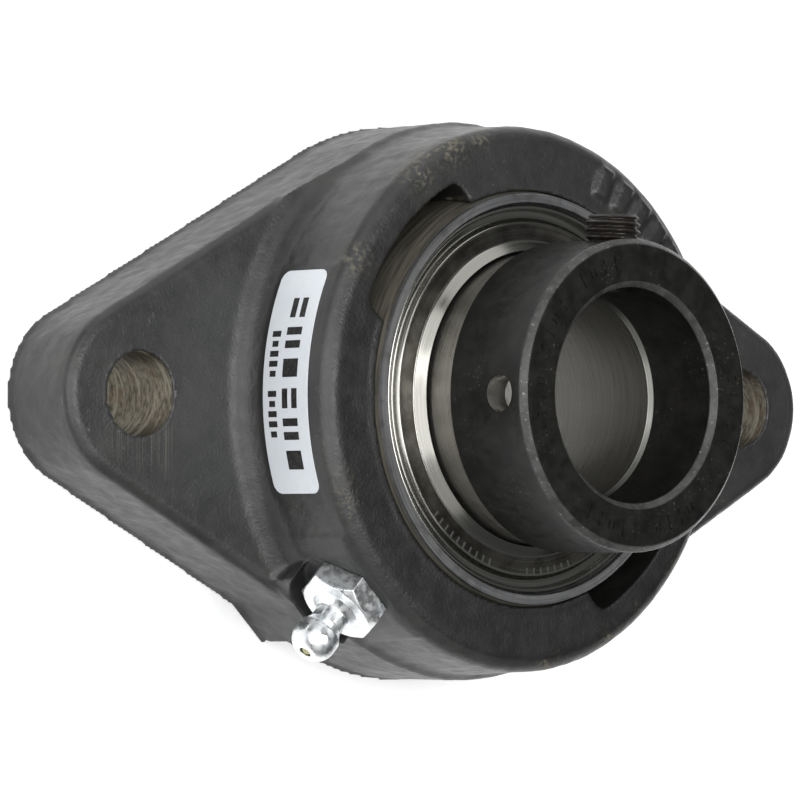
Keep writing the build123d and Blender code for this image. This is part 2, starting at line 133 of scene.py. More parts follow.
# Section of a shield: radius, height above its base and bend, in mm
SHIELD_SECTION = (
    (27.25, 1.70, 0.38), (27.25, 0.50, 0.10), (26.15, 0.50, 0.16), (25.57, 1.35, 0.16), (22.90, 1.35, 0.30),
    (21.40, 2.65, 0.14), (21.40, 2.15, 0.14), (22.75, 0.85, 0.30), (25.27, 0.85, 0.16), (25.85, 0.00, 0.16),
    (28.05, 0.00, 0.10), (28.05, 1.70, 0.38),
)

# Places where the paint is scuffed: angle, radius, height and reach, in degrees and mm
SCUFFS = (
    (113, 39.5, 28.6, 5.5), (118, 40.2, 27.5, 4.0), (124, 38.6, 29.0, 4.5), (104, 38.8, 29.2, 3.0),
    (150, 37.6, 29.0, 4.0), (-84, 38.8, 28.8, 3.2), (-65, 38.8, 28.8, 4.2), (-55, 38.5, 28.8, 3.6),
    (-40, 39.0, 28.4, 4.0), (-161, 37.4, 29.2, 3.0), (-156, 37.4, 29.2, 3.0), (-35, 34.5, 29.4, 2.5),
)

# Camera: turns in degrees, lens and sensor width in mm, and place in mm in its own axes
CAMERA_SWING, CAMERA_TILT, CAMERA_ROLL = 41.92, -1.689, 0.129
CAMERA_LENS, CAMERA_SENSOR = 235.8, 36
CAMERA_PLACE = (0.77, 0.52, 778.7)


# ---------------------------------------------------------------- mesh helpers


def points_of(mesh):
    """The mesh's vertices as an array of rows."""
    co = np.empty(len(mesh.vertices) * 3, np.float32)
    mesh.vertices.foreach_get("co", co)
    return co.reshape(-1, 3).astype(float)


def normals_of(mesh):
    """The mesh's vertex normals as an array of rows."""
    normals = np.empty(len(mesh.vertices) * 3, np.float32)
    mesh.vertex_normals.foreach_get("vector", normals)
    return normals.reshape(-1, 3).astype(float)


def move_points(mesh, co):
    """Gives the mesh new vertex places."""
    mesh.vertices.foreach_set("co", co.astype(np.float32).ravel())
    mesh.update()


def add_piece(name, mesh, body, material):
    """A new object with this mesh that rides on a body."""
    piece = bpy.data.objects.new(name, mesh)
    bpy.context.scene.collection.objects.link(piece)
    mesh.materials.clear()
    mesh.materials.append(material)
    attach(piece, body)
    return piece


def mesh_from(build, name):
    """Mesh from a bmesh."""
    mesh = bpy.data.meshes.new(name)
    bmesh.ops.recalc_face_normals(build, faces=build.faces)
    build.to_mesh(mesh)
    build.free()
    return mesh


def welded_copy(node):
    """A bmesh of a CAD node's mesh with its seams joined."""
    build = bmesh.new()
    build.from_mesh(frame["nodes"][node].data)
    bmesh.ops.remove_doubles(build, verts=build.verts, dist=1e-6)
    return build


def modified(mesh, kind, **settings):
    """The mesh after one modifier."""
    holder = bpy.data.objects.new("holder", mesh)
    bpy.context.scene.collection.objects.link(holder)
    modifier = holder.modifiers.new(kind.lower(), kind)
    for key, value in settings.items():
        setattr(modifier, key, value)
    graph = bpy.context.evaluated_depsgraph_get()
    result = bpy.data.meshes.new_from_object(holder.evaluated_get(graph))
    bpy.data.objects.remove(holder)
    return result


def add_box(build, size, matrix):
    """Adds a box of this size, placed by the matrix."""
    scale = Matrix.Diagonal((*size, 1))
    bmesh.ops.create_cube(build, size=1, matrix=matrix @ scale)


def polar(angle, radius, z):
    """Point at this angle and distance from the shaft axis."""
    return Vector((radius * cos(angle), radius * sin(angle), z))


def fade(value, low, high):
    """0 below low, 1 above high and smooth between."""
    t = np.clip((value - low) / (high - low), 0, 1)
    return t * t * (3 - 2 * t)


def outside_box(co, low, high, margin):
    """0 inside a box, 1 further than the margin outside it."""
    gap = np.maximum(np.array(low) - co, co - np.array(high)).max(axis=1)
    return fade(gap, 0, margin)


def lumps(co, size, seed):
    """Smooth noise from 0 to 1 with lumps of this size."""
    shift = Vector((seed * 3.7, seed * 1.3, seed * 7.1))
    values = [noise.noise(Vector(p) / size + shift) for p in co]
    return np.clip(0.5 + 0.55 * np.array(values), 0, 1)


# ---------------------------------------------------------------- node materials


class Finish:
    """One node material. Its methods add nodes and give back their output sockets."""

    def __init__(self, name, **sockets):
        self.material = bpy.data.materials.new(name)
        self.material.use_nodes = True
        self.tree = self.material.node_tree
        self.shader = self.tree.nodes["Principled BSDF"]
        for key, value in sockets.items():
            self.shader.inputs[key.replace("_", " ")].default_value = value
        self.place = self.node("ShaderNodeTexCoord", output="Object")

    def node(self, kind, inputs=None, output=0, **settings):
        made = self.tree.nodes.new(kind)
        for key, value in settings.items():
            setattr(made, key, value)
        for key, value in (inputs or {}).items():
            if isinstance(value, bpy.types.NodeSocket):
                self.tree.links.new(value, made.inputs[key])
            else:
                made.inputs[key].default_value = value
        return made.outputs[output]

    def noise(self, size, detail=3.0, where=None):
        inputs = {"Vector": where or self.place, "Scale": 1 / size, "Detail": detail}
        return self.node("ShaderNodeTexNoise", inputs)

    def stretched(self, sizes, detail=2.0, where=None):
        """Noise with its own grain size along each axis."""
        inputs = {0: where or self.place, 1: [1 / size for size in sizes]}
        scaled = self.node("ShaderNodeVectorMath", inputs, operation="MULTIPLY")
        return self.node("ShaderNodeTexNoise", {"Vector": scaled, "Scale": 1.0, "Detail": detail})

    def ramp(self, value, low, high, start=0.0, end=1.0):
        inputs = {"Value": value, "From Min": low, "From Max": high, "To Min": start, "To Max": end}
        return self.node("ShaderNodeMapRange", inputs, interpolation_type="SMOOTHSTEP")

    def math(self, operation, a, b=0.0):
        return self.node("ShaderNodeMath", {0: a, 1: b}, operation=operation)

    def times(self, *values):
        result = values[0]
        for value in values[1:]:
            result = self.math("MULTIPLY", result, value)
        return result

    def blend(self, share, a, b):
        """Colour a where share is 0 and b where it is 1."""
        a, b = ((*c, 1) if isinstance(c, tuple) else c for c in (a, b))
        return self.node("ShaderNodeMix", {0: share, 6: a, 7: b}, output=2, data_type="RGBA")

    def distance(self, point):
        inputs = {0: self.place, 1: point}
        return self.node("ShaderNodeVectorMath", inputs, output="Value", operation="DISTANCE")

    def axes(self):
        split = self.node("ShaderNodeSeparateXYZ", {0: self.place}).node
        return split.outputs[0], split.outputs[1], split.outputs[2]

    def length(self, a, b):
        """Length of the vector with these two parts."""
        return self.math("SQRT", self.math("ADD", self.times(a, a), self.times(b, b)))

    def radius(self):
        """Distance from the shaft axis."""
        px, py, _ = self.axes()
        return self.length(px, py)

    def turned(self):
        """Coordinates round the shaft: radius, arc at ARC_R, height."""
        px, py, pz = self.axes()
        arc = self.math("MULTIPLY", self.math("ARCTAN2", py, px), ARC_R)
        return self.node("ShaderNodeCombineXYZ", {0: self.radius(), 1: arc, 2: pz})

    def bump(self, height, strength, distance, under=None):
        inputs = {"Height": height, "Strength": strength, "Distance": distance}
        if under is not None:
            inputs["Normal"] = under
        return self.node("ShaderNodeBump", inputs)

    def set(self, **sockets):
        for key, value in sockets.items():
            self.tree.links.new(value, self.shader.inputs[key.replace("_", " ")])
        return self.material


def cast_paint():
    """Satin black paint on a sand casting, with raw drilled and bored faces, scuffs and chips, and painted
    shade in the slots, on the hub's front face and on the bolt holes' walls.
    """
    f = Finish("cast_paint", Specular_IOR_Level=0.5)
    px, py, pz = f.axes()
    tone = f.ramp(f.noise(9 * MM), 0.3, 0.7)
    paint = f.blend(tone, (0.018, 0.0185, 0.018), (0.028, 0.0285, 0.027))
    dust = f.times(f.ramp(f.noise(0.8 * MM, 5), 0.62, 0.74), f.ramp(f.noise(12 * MM), 0.45, 0.65))
    paint = f.blend(f.times(dust, 0.55), paint, (0.11, 0.108, 0.10))

    scuff = None
    for angle, r, z, size in SCUFFS:
        near = f.ramp(f.distance(polar(radians(angle), r * MM, z * MM)), 0, size * MM, 1, 0)
        scuff = near if scuff is None else f.math("MAXIMUM", scuff, near)
    scuff = f.times(scuff, f.ramp(f.noise(0.75 * MM, 8), 0.47, 0.66))
    paint = f.blend(f.times(scuff, 0.65), paint, (0.17, 0.15, 0.105))

    lines = f.ramp(f.stretched((0.22 * MM, 60 * MM, 60 * MM), 1), 0.52, 0.68)
    ends = f.math("ADD", py, f.times(f.math("SUBTRACT", f.stretched((0.7 * MM, 1, 1), 1), 0.5), 18 * MM))
    below = f.times(f.ramp(ends, -12 * MM, -7 * MM), f.ramp(py, -3 * MM, -5 * MM))
    beside = f.ramp(f.math("ABSOLUTE", f.math("ADD", px, BOLT_X - 0.6 * MM)), 4.5 * MM, 6.5 * MM, 1, 0)
    drips = f.times(below, beside, lines, f.ramp(pz, EAR_TOP - 1.2 * MM, EAR_TOP - 0.5 * MM))
    paint = f.blend(f.times(drips, 0.22), paint, (0.20, 0.20, 0.165))

    across = f.math("SUBTRACT", f.math("ABSOLUTE", px), BOLT_X)
    from_hole = f.length(across, py)
    edge = f.math("ADD", from_hole, f.times(f.math("SUBTRACT", f.noise(2 * MM), 0.5), 0.5 * MM))
    drilled = f.times(
        f.ramp(edge, BOLT_HOLE_R + 0.35 * MM, BOLT_HOLE_R + 0.55 * MM, 1, 0),
        f.ramp(pz, EAR_TOP - 0.45 * MM, EAR_TOP - 0.15 * MM, 1, 0),
    )
    low = f.ramp(pz, HUB_TOP - 0.9 * MM, HUB_TOP - 0.5 * MM, 1, 0)
    bored = f.times(f.ramp(f.radius(), INSERT_R + 0.25 * MM, INSERT_R + 0.45 * MM, 1, 0), low)
    # Painted shade: the slot walls are painted near-black, standing in for the shade inside the slots.
    slots = f.times(f.ramp(f.radius(), SLOT_R + 0.1 * MM, SLOT_R + 0.5 * MM, 1, 0), low)
    paint = f.blend(slots, paint, (0.008, 0.008, 0.0075))
    # Painted shade: the hub's front face is painted darker, most towards the bottom and least towards the
    # top, as the light falls off across it.
    face = f.ramp(pz, HUB_TOP - 0.5 * MM, HUB_TOP - 0.2 * MM)
    face = f.times(face, f.ramp(py, 12 * MM, 34 * MM, 0.7, 0.1))
    paint = f.blend(face, paint, (0.003, 0.003, 0.003))
    bare = f.math("MAXIMUM", drilled, f.times(bored, 0.35))
    grain = f.ramp(f.stretched((1.1 * MM, 1.1 * MM, 0.4 * MM), 4), 0.3, 0.7)
    iron = f.blend(grain, (0.10, 0.088, 0.062), (0.30, 0.275, 0.21))
    iron = f.blend(f.times(f.ramp(f.noise(2.4 * MM, 4), 0.52, 0.66), 0.45), iron, (0.20, 0.125, 0.085))
    # Painted shade: the bare walls of the bolt holes are painted darker towards their top and bottom sides.
    iron = f.blend(f.ramp(f.math("ABSOLUTE", py), 3.6 * MM, 5.6 * MM, 0, 0.8), iron, (0.035, 0.03, 0.02))
    streaks = f.ramp(f.stretched((9 * MM, 9 * MM, 0.75 * MM), 1), 0.56, 0.66)
    iron = f.blend(f.times(streaks, 0.55), iron, (0.44, 0.42, 0.34))

    rough = f.ramp(f.noise(2.2 * MM, 4), 0.3, 0.7, 0.36, 0.46)
    sand = f.bump(f.noise(0.42 * MM, 4), 0.35, 0.16 * MM)
    coarse = f.bump(f.noise(1.5 * MM, 3), 0.16, 0.3 * MM, sand)
    scored = f.bump(f.stretched((9 * MM, 9 * MM, 0.22 * MM), 2), 0.5, 0.2 * MM, coarse)
    normal = f.node("ShaderNodeMix", {0: bare, 4: coarse, 5: scored}, output=1, data_type="VECTOR")
    return f.set(
        Base_Color=f.blend(bare, paint, iron),
        Roughness=f.math("ADD", rough, f.times(scuff, 0.2)),
        Metallic=f.times(bare, 0.35),
        Normal=normal,
    )


def label_film():
    """White printed film that follows the casting under it."""
    f = Finish("label_film", Specular_IOR_Level=0.4)
    colour = f.blend(f.noise(4 * MM), (0.605, 0.637, 0.68), (0.66, 0.69, 0.718))
    grime = f.times(f.ramp(f.noise(0.7 * MM, 5), 0.66, 0.8), 0.3)
    return f.set(
        Base_Color=f.blend(grime, colour, (0.36, 0.35, 0.34)),
        Roughness=f.ramp(f.noise(3 * MM), 0.3, 0.7, 0.36, 0.46),
        Normal=f.bump(f.noise(1.8 * MM, 1), 0.35, 0.12 * MM),
    )


def label_ink():
    """Black ink, a little thin in places."""
    f = Finish("label_ink", Specular_IOR_Level=0.4)
    colour = f.blend(f.ramp(f.noise(0.5 * MM), 0.35, 0.75), (0.010, 0.010, 0.010), (0.035, 0.034, 0.033))
    return f.set(Base_Color=colour, Roughness=f.ramp(f.noise(1 * MM), 0.3, 0.7, 0.4, 0.55))


def zinc_plate():
    """Bright zinc plate with a blue tint and small tool marks."""
    f = Finish("zinc_plate", Metallic=1.0)
    colour = f.blend(f.noise(2.5 * MM), (0.74, 0.78, 0.84), (0.86, 0.86, 0.82))
    stain = f.times(f.ramp(f.noise(1.1 * MM, 4), 0.58, 0.75), 0.4)
    return f.set(
        Base_Color=f.blend(stain, colour, (0.40, 0.41, 0.42)),
        Roughness=f.ramp(f.noise(1.1 * MM, 4), 0.3, 0.7, 0.2, 0.44),
        Normal=f.bump(f.noise(0.6 * MM, 3), 0.18, 0.08 * MM),
    )


def inner_ring_steel():
    """Ground steel: a honed bore painted much darker than the outside as painted shade inside the bore, a
    greyer outside and end.
    """
    f = Finish("inner_ring_steel", Metallic=1.0)
    marks = f.stretched((0.07 * MM, 30 * MM, 0.07 * MM), 3, f.turned())
    fine = f.ramp(marks, 0.3, 0.7)
    bore = f.ramp(f.radius(), BORE_R + 0.05 * MM, BORE_R + 0.1 * MM, 1, 0)
    ground = f.blend(fine, (0.52, 0.51, 0.475), (0.66, 0.65, 0.61))
    end = f.ramp(f.axes()[2], COLLAR_LOW.z + 1.5 * MM, COLLAR_LOW.z + 2 * MM)
    ground = f.blend(end, ground, (0.13, 0.13, 0.12))
    # Painted shade: the honed bore's steel is painted about a third as light as the ground outside, for the
    # shade inside the bore.
    honed_and_shaded = f.blend(fine, (0.15, 0.148, 0.137), (0.23, 0.226, 0.21))
    uneven = f.ramp(f.noise(5 * MM), 0.35, 0.7, 0, 0.05)
    return f.set(
        Base_Color=f.blend(bore, ground, honed_and_shaded),
        Roughness=f.math("ADD", f.ramp(marks, 0.3, 0.7, 0.25, 0.35), uneven),
        Normal=f.bump(marks, 0.1, 0.02 * MM),
    )


def shield_steel():
    """Bright pressed sheet with faint marks; the flat band is rougher and painted dark, and the inner lip
    painted a little darker, both as painted shade.
    """
    f = Finish("shield_steel", Metallic=1.0)
    marks = f.stretched((0.2 * MM, 30 * MM, 0.2 * MM), 3, f.turned())
    colour = f.blend(f.ramp(marks, 0.3, 0.7), (0.31, 0.305, 0.28), (0.38, 0.375, 0.345))
    r = f.radius()
    band = f.times(f.ramp(r, 22.8 * MM, 23.1 * MM), f.ramp(r, 25.2 * MM, 25.5 * MM, 1, 0))
    # Painted shade: the flat band is painted almost black, unevenly, standing in for the dark reflection on
    # it.
    band_shade_share = f.ramp(f.noise(3 * MM, 4), 0.3, 0.7, 0.7, 0.95)
    colour = f.blend(f.times(band, band_shade_share), colour, (0.05, 0.047, 0.04))
    # Painted shade: the inner lip is painted darker, which dims its highlight.
    colour = f.blend(f.ramp(r, 22.6 * MM, 22.9 * MM, 0.4, 0), colour, (0.12, 0.118, 0.105))
    return f.set(
        Base_Color=colour,
        Roughness=f.math("ADD", f.ramp(marks, 0.3, 0.7, 0.15, 0.24), f.times(band, 0.12)),
        Normal=f.bump(marks, 0.05, 0.02 * MM),
    )


def outer_ring_steel():
    """Dull blue-grey ring face, and a browner, scored outside where the ring sits in the housing."""
    f = Finish("ring_steel", Metallic=1.0)
    marks = f.stretched((0.14 * MM, 18 * MM, 0.14 * MM), 4, f.turned())
    face = f.blend(f.ramp(marks, 0.3, 0.7), (0.20, 0.201, 0.205), (0.30, 0.302, 0.307))
    face = f.blend(f.times(f.ramp(f.noise(2.2 * MM, 5), 0.5, 0.7), 0.5), face, (0.11, 0.11, 0.11))
    below = f.ramp(f.axes()[2], RING_HIGH.z - 0.35 * MM, RING_HIGH.z - 0.6 * MM)
    outside = f.times(f.ramp(f.radius(), 29.4 * MM, 29.6 * MM), below)
    patches = f.ramp(f.stretched((3 * MM, 9 * MM, 0.5 * MM), 5, f.turned()), 0.3, 0.7)
    stain = f.blend(patches, (0.06, 0.056, 0.043), (0.16, 0.15, 0.12))
    return f.set(
        Base_Color=f.blend(outside, face, stain),
        Metallic=f.ramp(outside, 0, 1, 1, 0.35),
        Roughness=f.ramp(marks, 0.3, 0.7, 0.36, 0.48),
        Normal=f.bump(marks, 0.25, 0.03 * MM),
    )


def black_oxide():
    """Oiled black oxide, rubbed grey along the chamfers as wear and painted highlight, with a few flecks
    and a bright drilled hole.
    """
    f = Finish("black_oxide", Specular_IOR_Level=0.3)
    px, py, pz = f.axes()
    r = f.radius()
    near_top = f.ramp(pz, COLLAR_HIGH.z - 1.0 * MM, COLLAR_HIGH.z - 0.75 * MM)
    outer = f.times(near_top, f.ramp(r, COLLAR_R - 1.0 * MM, COLLAR_R - 0.7 * MM))
    inner = f.times(near_top, f.ramp(r, COLLAR_BORE_R + 0.75 * MM, COLLAR_BORE_R + 0.95 * MM, 1, 0))
    chamfers = f.math("MAXIMUM", outer, inner)
    # The grey along the chamfers is partly rubbed wear and partly a painted highlight.
    rubbed_and_highlight = f.times(chamfers, f.ramp(f.noise(1.6 * MM, 5), 0.3, 0.7, 0.35, 0.8))
    flecks = f.ramp(f.noise(0.5 * MM, 4), 0.62, 0.72)
    scattered = f.ramp(f.noise(6 * MM), 0.48, 0.66, 0, 0.35)
    flecks = f.times(flecks, f.math("ADD", f.times(chamfers, 0.8), scattered))
    base = f.blend(f.ramp(f.noise(3 * MM, 4), 0.35, 0.65), (0.004, 0.004, 0.0036), (0.009, 0.0087, 0.0075))
    base = f.blend(f.times(rubbed_and_highlight, 0.7), base, (0.10, 0.10, 0.098))
    base = f.blend(f.times(flecks, 0.6), base, (0.27, 0.265, 0.25))
    dz = f.math("SUBTRACT", pz, COLLAR_HOLE_Z)
    from_hole = f.length(py, dz)
    drilled = f.times(
        f.ramp(px, 0, -1 * MM),
        f.ramp(from_hole, DRIFT_R + 0.04 * MM, DRIFT_R + 0.1 * MM, 1, 0),
        f.ramp(r, COLLAR_R - 0.22 * MM, COLLAR_R - 0.1 * MM, 1, 0),
        f.ramp(r, COLLAR_BORE_R + 0.4 * MM, COLLAR_BORE_R + 0.5 * MM),
    )
    steel = f.blend(f.stretched((0.25 * MM, 3 * MM, 3 * MM), 2), (0.28, 0.272, 0.256), (0.48, 0.468, 0.448))
    metal = f.math("MAXIMUM", f.times(flecks, 0.5), drilled)
    return f.set(
        Base_Color=f.blend(drilled, base, steel),
        Metallic=metal,
        Roughness=f.ramp(f.noise(1.3 * MM, 5), 0.3, 0.7, 0.28, 0.4),
        Normal=f.bump(f.noise(0.35 * MM, 3), 0.22, 0.06 * MM),
    )


def screw_steel():
    """Dark brown set screw, its thread crests rubbed a little lighter."""
    f = Finish("screw_steel", Specular_IOR_Level=0.4)
    px, _, pz = f.axes()
    dz = f.math("SUBTRACT", pz, COLLAR_HOLE_Z)
    r = f.length(px, dz)
    crest = f.times(f.ramp(r, 3.7 * MM, 3.93 * MM), f.ramp(f.noise(0.9 * MM, 4), 0.35, 0.65))
    colour = f.blend(f.noise(1.5 * MM), (0.006, 0.0048, 0.004), (0.013, 0.0105, 0.0085))
    return f.set(
        Base_Color=f.blend(f.times(crest, 0.5), colour, (0.06, 0.05, 0.042)),
        Metallic=f.times(crest, 0.4),
        Roughness=f.ramp(f.noise(1 * MM), 0.3, 0.7, 0.34, 0.5),
        Normal=f.bump(f.noise(0.3 * MM, 2), 0.15, 0.05 * MM),
    )


def plain_finish(name, dark, light, rough, metallic, size=2.0):
    """Small hidden pieces: two tones, uneven gloss and a fine grain."""
    f = Finish(name, Metallic=metallic)
    return f.set(
        Base_Color=f.blend(f.noise(size * MM, 4), dark, light),
        Roughness=f.ramp(f.noise(size * 0.6 * MM, 3), 0.3, 0.7, rough - 0.06, rough + 0.06),
        Normal=f.bump(f.noise(0.3 * MM, 2), 0.1, 0.04 * MM),
    )


# ---------------------------------------------------------------- pieces


def raised_marks(build):
    """Plain raised cast bars on the hub face, between the slot and the right ear."""
    for angle in RAISED_BARS:
        turn = Matrix.Rotation(radians(angle), 4, "Z")
        add_box(build, RAISED_BAR_SIZE, turn @ Matrix.Translation((RAISED_BAR_R, 0, HUB_TOP)))


def housing_casting():
    """The housing with a cast surface, scored bolt holes and raised cast bars."""
    build = welded_copy("housing")
    raised_marks(build)
    mesh = modified(mesh_from(build, "housing_casting"), "REMESH", mode="VOXEL", voxel_size=HOUSING_VOXEL)
    co = points_of(mesh)
    normals = normals_of(mesh)

    centred = co - np.array(BALL_CENTRE)
    reach = np.linalg.norm(centred, axis=1)
    facing_in = (centred * normals).sum(axis=1) < 0
    seat = facing_in & (reach < INSERT_R + 0.5 * MM) & (np.abs(centred[:, 2]) < INSERT_R)

    side = np.where(co[:, 0] < 0, -BOLT_X, BOLT_X)
    dx, dy = co[:, 0] - side, co[:, 1]
    from_hole = np.hypot(dx, dy)
    faces_axis = dx * normals[:, 0] + dy * normals[:, 1] < -0.3 * from_hole
    hole = (from_hole < BOLT_HOLE_R + 0.3 * MM) & faces_axis

    free = outside_box(co, LABEL_LOW, LABEL_HIGH, 1.5 * MM)
    free *= outside_box(co, FITTING_LOW, FITTING_HIGH, 1.0 * MM)
    free *= fade(co[:, 2], 0.05 * MM, 0.8 * MM)
    free *= fade(reach - INSERT_R, 0.4 * MM, 1.6 * MM)
    free[hole] = 0
    walls = 1 - fade(np.abs(normals[:, 2]), 0.15, 0.5)
    rough = (0.13 + 0.10 * walls) * lumps(co, 7 * MM, 1) + (0.07 + 0.15 * walls) * lumps(co, 2.6 * MM, 2)
    rough += (0.03 + 0.08 * walls) * lumps(co, 1.1 * MM, 3)
    edge = fade(-co[:, 2], -4 * MM, -1 * MM) * 0.22 * lumps(co, 1.9 * MM, 4)
    co -= normals * ((rough + edge) * free * MM)[:, None]

    clear = INSERT_R + 0.16 * MM
    co[seat] = np.array(BALL_CENTRE) + centred[seat] * (clear / reach[seat])[:, None]

    turn = np.arctan2(dy, dx) / (2 * pi)
    thread = np.abs(((co[:, 2] / (2.0 * MM) - turn) % 1) * 2 - 1)
    score = (0.02 + 0.24 * thread ** 3 + 0.06 * lumps(co, 1.2 * MM, 5)) * MM
    score *= fade(co[:, 2], 1.5 * MM, 4.0 * MM) * fade(EAR_TOP - co[:, 2], 0.1 * MM, 0.9 * MM)
    inward = np.clip(-dx * np.sign(side) / np.maximum(from_hole, 1e-6), 0, 1)
    score -= (0.1 + 1.1 * inward) * MM * (1 - fade(co[:, 2], 0.3 * MM, 1.7 * MM))
    widened = (BOLT_HOLE_R + score) / np.maximum(from_hole, 1e-6)
    co[hole, 0] = (side + dx * widened)[hole]
    co[hole, 1] = (dy * widened)[hole]

    co = np.clip(co, np.array(HOUSING_LOW), np.array(HOUSING_HIGH) + np.array([0, 0, RAISED_BAR_ROOM]))
    move_points(mesh, co)
    mesh.shade_smooth()
    piece = add_piece("housing_casting", mesh, "housing", cast_paint())
    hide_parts("housing")


def label_radius(z):
    """Outside radius of the label at this height, from the label's own mesh."""
    co = points_of(frame["nodes"]["label"].data)
    radii, heights = np.hypot(co[:, 0], co[:, 1]), co[:, 2]
    foot = radii[heights < LABEL_LOW.z + 1e-5].max()
    head = radii[heights > LABEL_HIGH.z - 1e-5].max()
    return foot + (head - foot) * (z - LABEL_LOW.z) / (LABEL_HIGH.z - LABEL_LOW.z)


def add_wrapped_bar(build, across, up, length, height):
    """Adds a thin bar printed on the label, centred at these places on it."""
    columns = max(2, int(length / (0.5 * MM)) + 1)
    out = Vector((cos(LABEL_ANGLE), sin(LABEL_ANGLE), 0))
    side = Vector((-sin(LABEL_ANGLE), cos(LABEL_ANGLE), 0))
    below, above = up - height / 2, up + height / 2
    corners = ((INK_T, below), (INK_T, above), (-INK_T, above), (-INK_T, below))
    rows = []
    for column in range(columns):
        u = across + length * (column / (columns - 1) - 0.5)
        ring = []
        for lift, z in corners:
            r = label_radius(z) + lift
            ring.append(build.verts.new(out * sqrt(r * r - u * u) + side * u + Vector((0, 0, z))))
        rows.append(ring)
    for a, b in zip(rows, rows[1:]):
        for k in range(4):
            build.faces.new((a[k], a[(k + 1) % 4], b[(k + 1) % 4], b[k]))
    build.faces.new(rows[0])
    build.faces.new(rows[-1])


def label_print():
    """Plain printed blocks: a bold row and a fine row of dashes."""
    build = bmesh.new()
    middle = (LABEL_LOW.z + LABEL_HIGH.z) / 2
    top = (LABEL_HIGH.y - LABEL_LOW.y) / 2
    for index in range(6):
        start = top - (4.6 + 4.3 * index) * MM
        if index % 3 == 1:
            for shift in (-0.95, 0.95):
                add_wrapped_bar(build, start + shift * MM, middle + 0.9 * MM, 1.1 * MM, 3.0 * MM)
        elif index % 3 == 2:
            for shift in (-0.95, 0.95):
                add_wrapped_bar(build, start, middle + (0.9 + shift) * MM, 2.8 * MM, 1.1 * MM)
        else:
            add_wrapped_bar(build, start, middle + 0.9 * MM, 2.6 * MM, 3.0 * MM)
    for index in range(11):
        if index != 5:
            start = top - (8.2 + 1.42 * index) * MM
            add_wrapped_bar(build, start, middle - 2.6 * MM, 0.85 * MM, (1.7 if index % 3 else 1.2) * MM)
    add_piece("label_print", mesh_from(build, "label_print"), "housing", label_ink())


def rounded_outline(corners):
    """Closed outline of (r, z, rounding) corners, each one rounded with short steps."""
    outline = []
    for before, corner, after in zip(corners[-1:] + corners[:-1], corners, corners[1:] + corners[:1]):
        here, radius = Vector(corner[:2]), corner[2]
        back, ahead = Vector(before[:2]) - here, Vector(after[:2]) - here
        start, end = here + back.normalized() * radius, here + ahead.normalized() * radius
        for k in range(5):
            t = k / 4
            outline.append(start * (1 - t) ** 2 + here * 2 * t * (1 - t) + end * t ** 2)
        run = ahead.length - radius - after[2]
        rows = int(run / (0.6 * MM))
        outline += [end + ahead.normalized() * run * (k + 1) / (rows + 1) for k in range(rows)]
    return outline


def add_lathe(build, outline, count, x=0.0):
    """Adds a ring turned from a closed outline of (r, z) points round the line x."""
    rings = []
    for k in range(count):
        turn = 2 * pi * k / count
        rings.append([build.verts.new((x + p.x * cos(turn), p.x * sin(turn), p.y)) for p in outline])
    for a, b in zip(rings, rings[1:] + rings[:1]):
        for k in range(len(outline)):
            m = (k + 1) % len(outline)
            build.faces.new((a[k], a[m], b[m], b[k]))


def add_drill(build, matrix, radius, length, point=0.0):
    """Adds a drill shape that starts at the matrix's origin and runs along its Z, with a cone point."""
    rings = []
    for z in (0, length):
        rings.append([build.verts.new(matrix @ polar(2 * pi * k / 64, radius, z)) for k in range(64)])
    build.faces.new(rings[0])
    tip = build.verts.new(matrix @ Vector((0, 0, length + point)))
    for k in range(64):
        m = (k + 1) % 64
        build.faces.new((rings[0][k], rings[0][m], rings[1][m], rings[1][k]))
        build.faces.new((rings[1][k], rings[1][m], tip))


